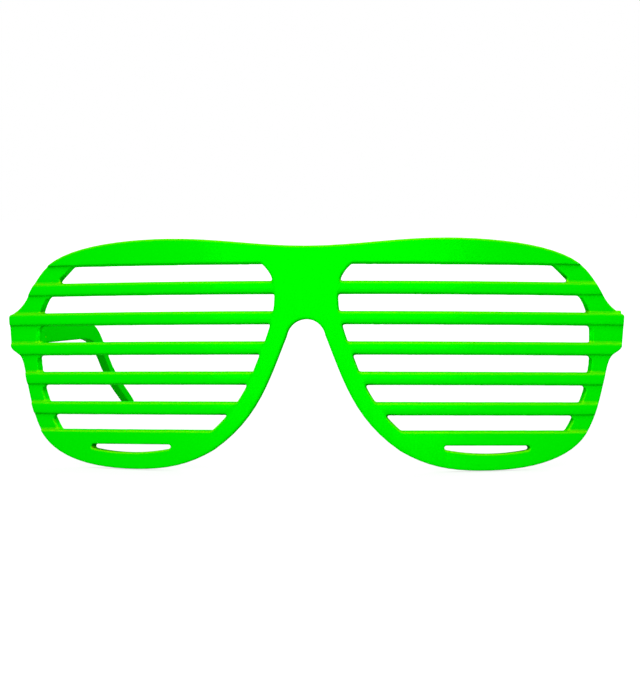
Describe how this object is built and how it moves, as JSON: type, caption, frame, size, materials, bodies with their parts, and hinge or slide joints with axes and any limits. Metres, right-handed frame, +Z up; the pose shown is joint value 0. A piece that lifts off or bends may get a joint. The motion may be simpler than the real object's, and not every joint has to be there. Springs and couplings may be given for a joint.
{
  "type": "party glasses",
  "caption": "Slatted party glasses: a wrapped one-piece front with slats across each eye opening and two temples that fold on pinned hinges.",
  "frame": {"origin": "on the ground under the middle of the open glasses, which rest on both rims and both ear tips", "axes": "+X to the wearer's left, +Y from the front back towards the ear tips, +Z up"},
  "size_m": [0.15, 0.155, 0.0551],
  "materials": {
    "neon_plastic": "glossy injection moulded plastic, neon green through and through",
    "pin_steel": "plain bright steel pin"
  },
  "bodies": {
    "front": {"front_frame": "neon_plastic", "right_hinge_pin": "pin_steel", "left_hinge_pin": "pin_steel"},
    "right_arm": {"right_temple": "neon_plastic"},
    "left_arm": {"left_temple": "neon_plastic"}
  },
  "joints": [
    {"name": "right_temple_fold", "type": "hinge", "parent": "front", "child": "right_arm", "pos_m": [-0.069, -0.05314, 0.03237], "axis": [0, -0.0947, -0.9955], "range_deg": [0, 88.5]},
    {"name": "left_temple_fold", "type": "hinge", "parent": "front", "child": "left_arm", "pos_m": [0.069, -0.05314, 0.03237], "axis": [0, 0.0947, 0.9955], "range_deg": [0, 92]}
  ]
}
